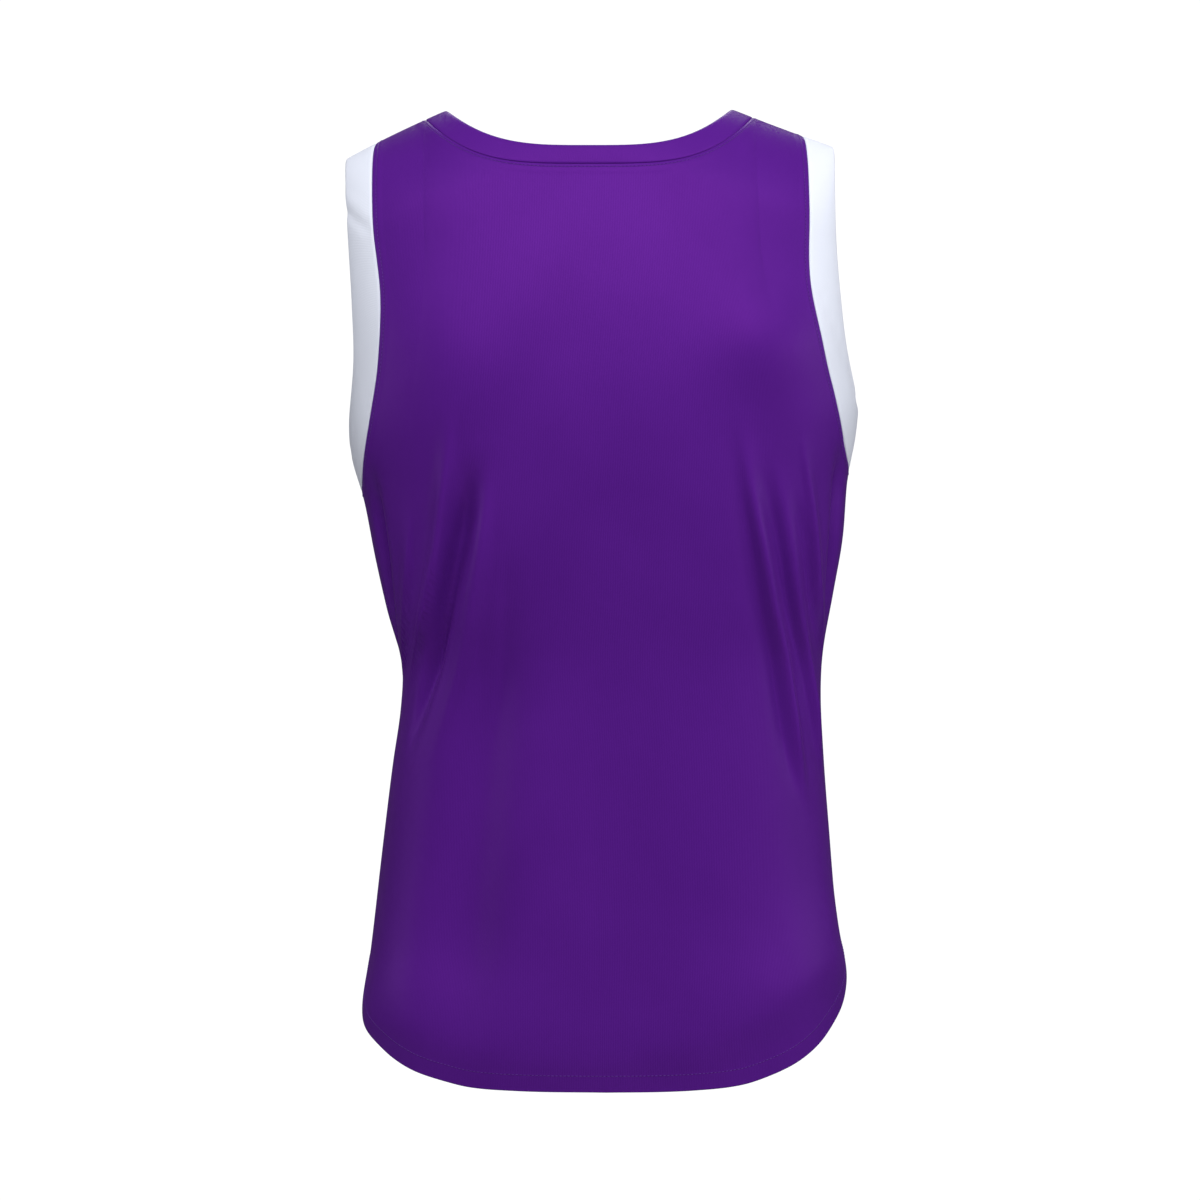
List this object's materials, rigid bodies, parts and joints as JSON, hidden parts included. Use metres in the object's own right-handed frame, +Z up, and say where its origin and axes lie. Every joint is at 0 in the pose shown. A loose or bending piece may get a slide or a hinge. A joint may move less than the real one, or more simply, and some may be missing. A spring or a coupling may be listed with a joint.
{
  "type": "basketball jersey",
  "caption": "Sleeveless purple knit jersey with white armhole bands, a round neck and a curved hem, filled out as worn and open at neck, arms and hem.",
  "frame": {"origin": "midway between the two high shoulder points of the neck, where the wearer's shoulders hold the jersey up", "axes": "+Z up, the garment's front faces -Y, the wearer's left side is +X"},
  "size_m": [0.3952, 0.2501, 0.7497],
  "materials": {
    "purple_knit": "smooth polyester knit with a satin sheen",
    "white_knit": "smooth polyester knit, matt white"
  },
  "bodies": {
    "root": {"back": "purple_knit", "front": "purple_knit", "neckband": "purple_knit", "armhole_band_left": "white_knit", "armhole_band_right": "white_knit"}
  },
  "joints": []
}
